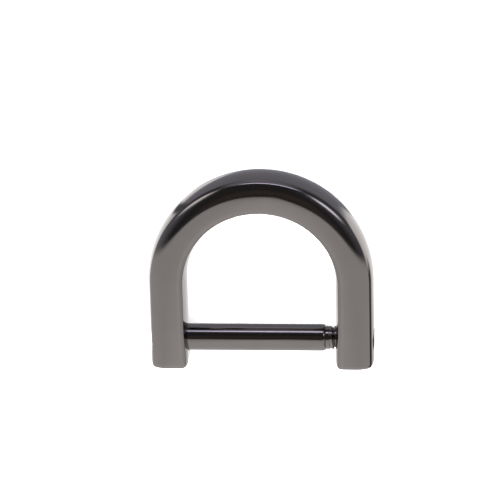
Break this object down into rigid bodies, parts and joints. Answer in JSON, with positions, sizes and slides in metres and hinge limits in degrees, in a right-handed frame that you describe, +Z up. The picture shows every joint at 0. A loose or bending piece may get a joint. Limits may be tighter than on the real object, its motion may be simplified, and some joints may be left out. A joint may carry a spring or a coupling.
{
  "type": "d ring",
  "caption": "Horseshoe-shaped d ring with rounded shoulders, closed by a slotted screw pin that unscrews and draws out of both legs.",
  "frame": {"origin": "on the surface that the ring lies on, under the middle of the whole part", "axes": "+X along the pin from its head to its threaded tip, +Y from the feet to the crown, +Z up out of the front face"},
  "size_m": [0.022, 0.02, 0.0047],
  "materials": {
    "ring_plating": "polished gunmetal plating",
    "pin_plating": "bright gunmetal plating over turned steel"
  },
  "bodies": {
    "ring": {"ring_frame": "ring_plating"},
    "pin": {"screw_pin": "pin_plating"}
  },
  "joints": [
    {"name": "pin_slide", "type": "slide", "parent": "ring", "child": "pin", "axis": [-1, 0, 0], "range_m": [0, 0.02]}
  ]
}
